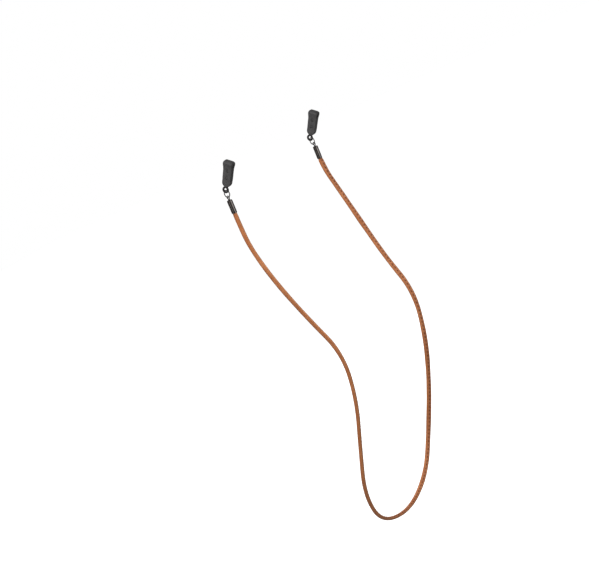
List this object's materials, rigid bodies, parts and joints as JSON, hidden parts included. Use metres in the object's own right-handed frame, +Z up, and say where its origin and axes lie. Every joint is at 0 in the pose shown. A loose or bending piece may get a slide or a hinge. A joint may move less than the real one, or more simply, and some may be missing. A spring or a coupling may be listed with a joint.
{
  "type": "eyeglass retainer strap",
  "caption": "Leather cord with a stitched seam, crimped at both ends and hung by jump rings from rubber clips that grip the temple arms of eyeglasses.",
  "frame": {"origin": "midway between the centres of the two temple holes, where the glasses hold the clips", "axes": "+X across, towards the wearer's left; +Y towards the back of the head; +Z up, with the strap hanging plumb and the temple arms sloping 37 degrees down towards the back"},
  "size_m": [0.1444, 0.0575, 0.327],
  "materials": {
    "rubber": "matte moulded",
    "black_metal": "black coated",
    "gunmetal": "dark plated",
    "leather": "waxed tan",
    "core": "braided",
    "thread": "waxed"
  },
  "bodies": {
    "clips": {"left_clip_body": "rubber", "right_clip_body": "rubber", "left_eye_loop": "black_metal", "right_eye_loop": "black_metal"},
    "left_tail": {"left_clip_tail": "rubber"},
    "right_tail": {"right_clip_tail": "rubber"},
    "left_ring": {"left_jump_ring": "gunmetal"},
    "right_ring": {"right_jump_ring": "gunmetal"},
    "strap": {"left_crimp_loop": "gunmetal", "left_crimp_sleeve": "gunmetal", "right_crimp_loop": "gunmetal", "right_crimp_sleeve": "gunmetal", "leather_cover": "leather", "core_cord": "core", "seam_thread": "thread"}
  },
  "joints": [
    {"name": "left_ring_swing", "type": "hinge", "parent": "clips", "child": "left_ring", "pos_m": [0.066, -0.01296, -0.01578], "axis": [1, 0, 0], "range_deg": [-105, 30]},
    {"name": "strap_swing", "type": "hinge", "parent": "left_ring", "child": "strap", "pos_m": [0.06746, -0.01296, -0.02165], "axis": [1, 0, 0], "range_deg": [-90, 90]},
    {"name": "right_ring_swing", "type": "hinge", "parent": "clips", "child": "right_ring", "pos_m": [-0.066, -0.01296, -0.01578], "axis": [1, 0, 0], "range_deg": [-105, 30]},
    {"name": "left_tail_open", "type": "hinge", "parent": "clips", "child": "left_tail", "pos_m": [0.066, 0.00156, 0.00208], "axis": [0, 0.7986, -0.6018], "range_deg": [0, 90]},
    {"name": "right_tail_open", "type": "hinge", "parent": "clips", "child": "right_tail", "pos_m": [-0.066, 0.00156, 0.00208], "axis": [0, 0.7986, -0.6018], "range_deg": [0, 90]}
  ],
  "couplings": [
    {"joint": "right_ring_swing", "follows": "left_ring_swing", "ratio": 1}
  ]
}
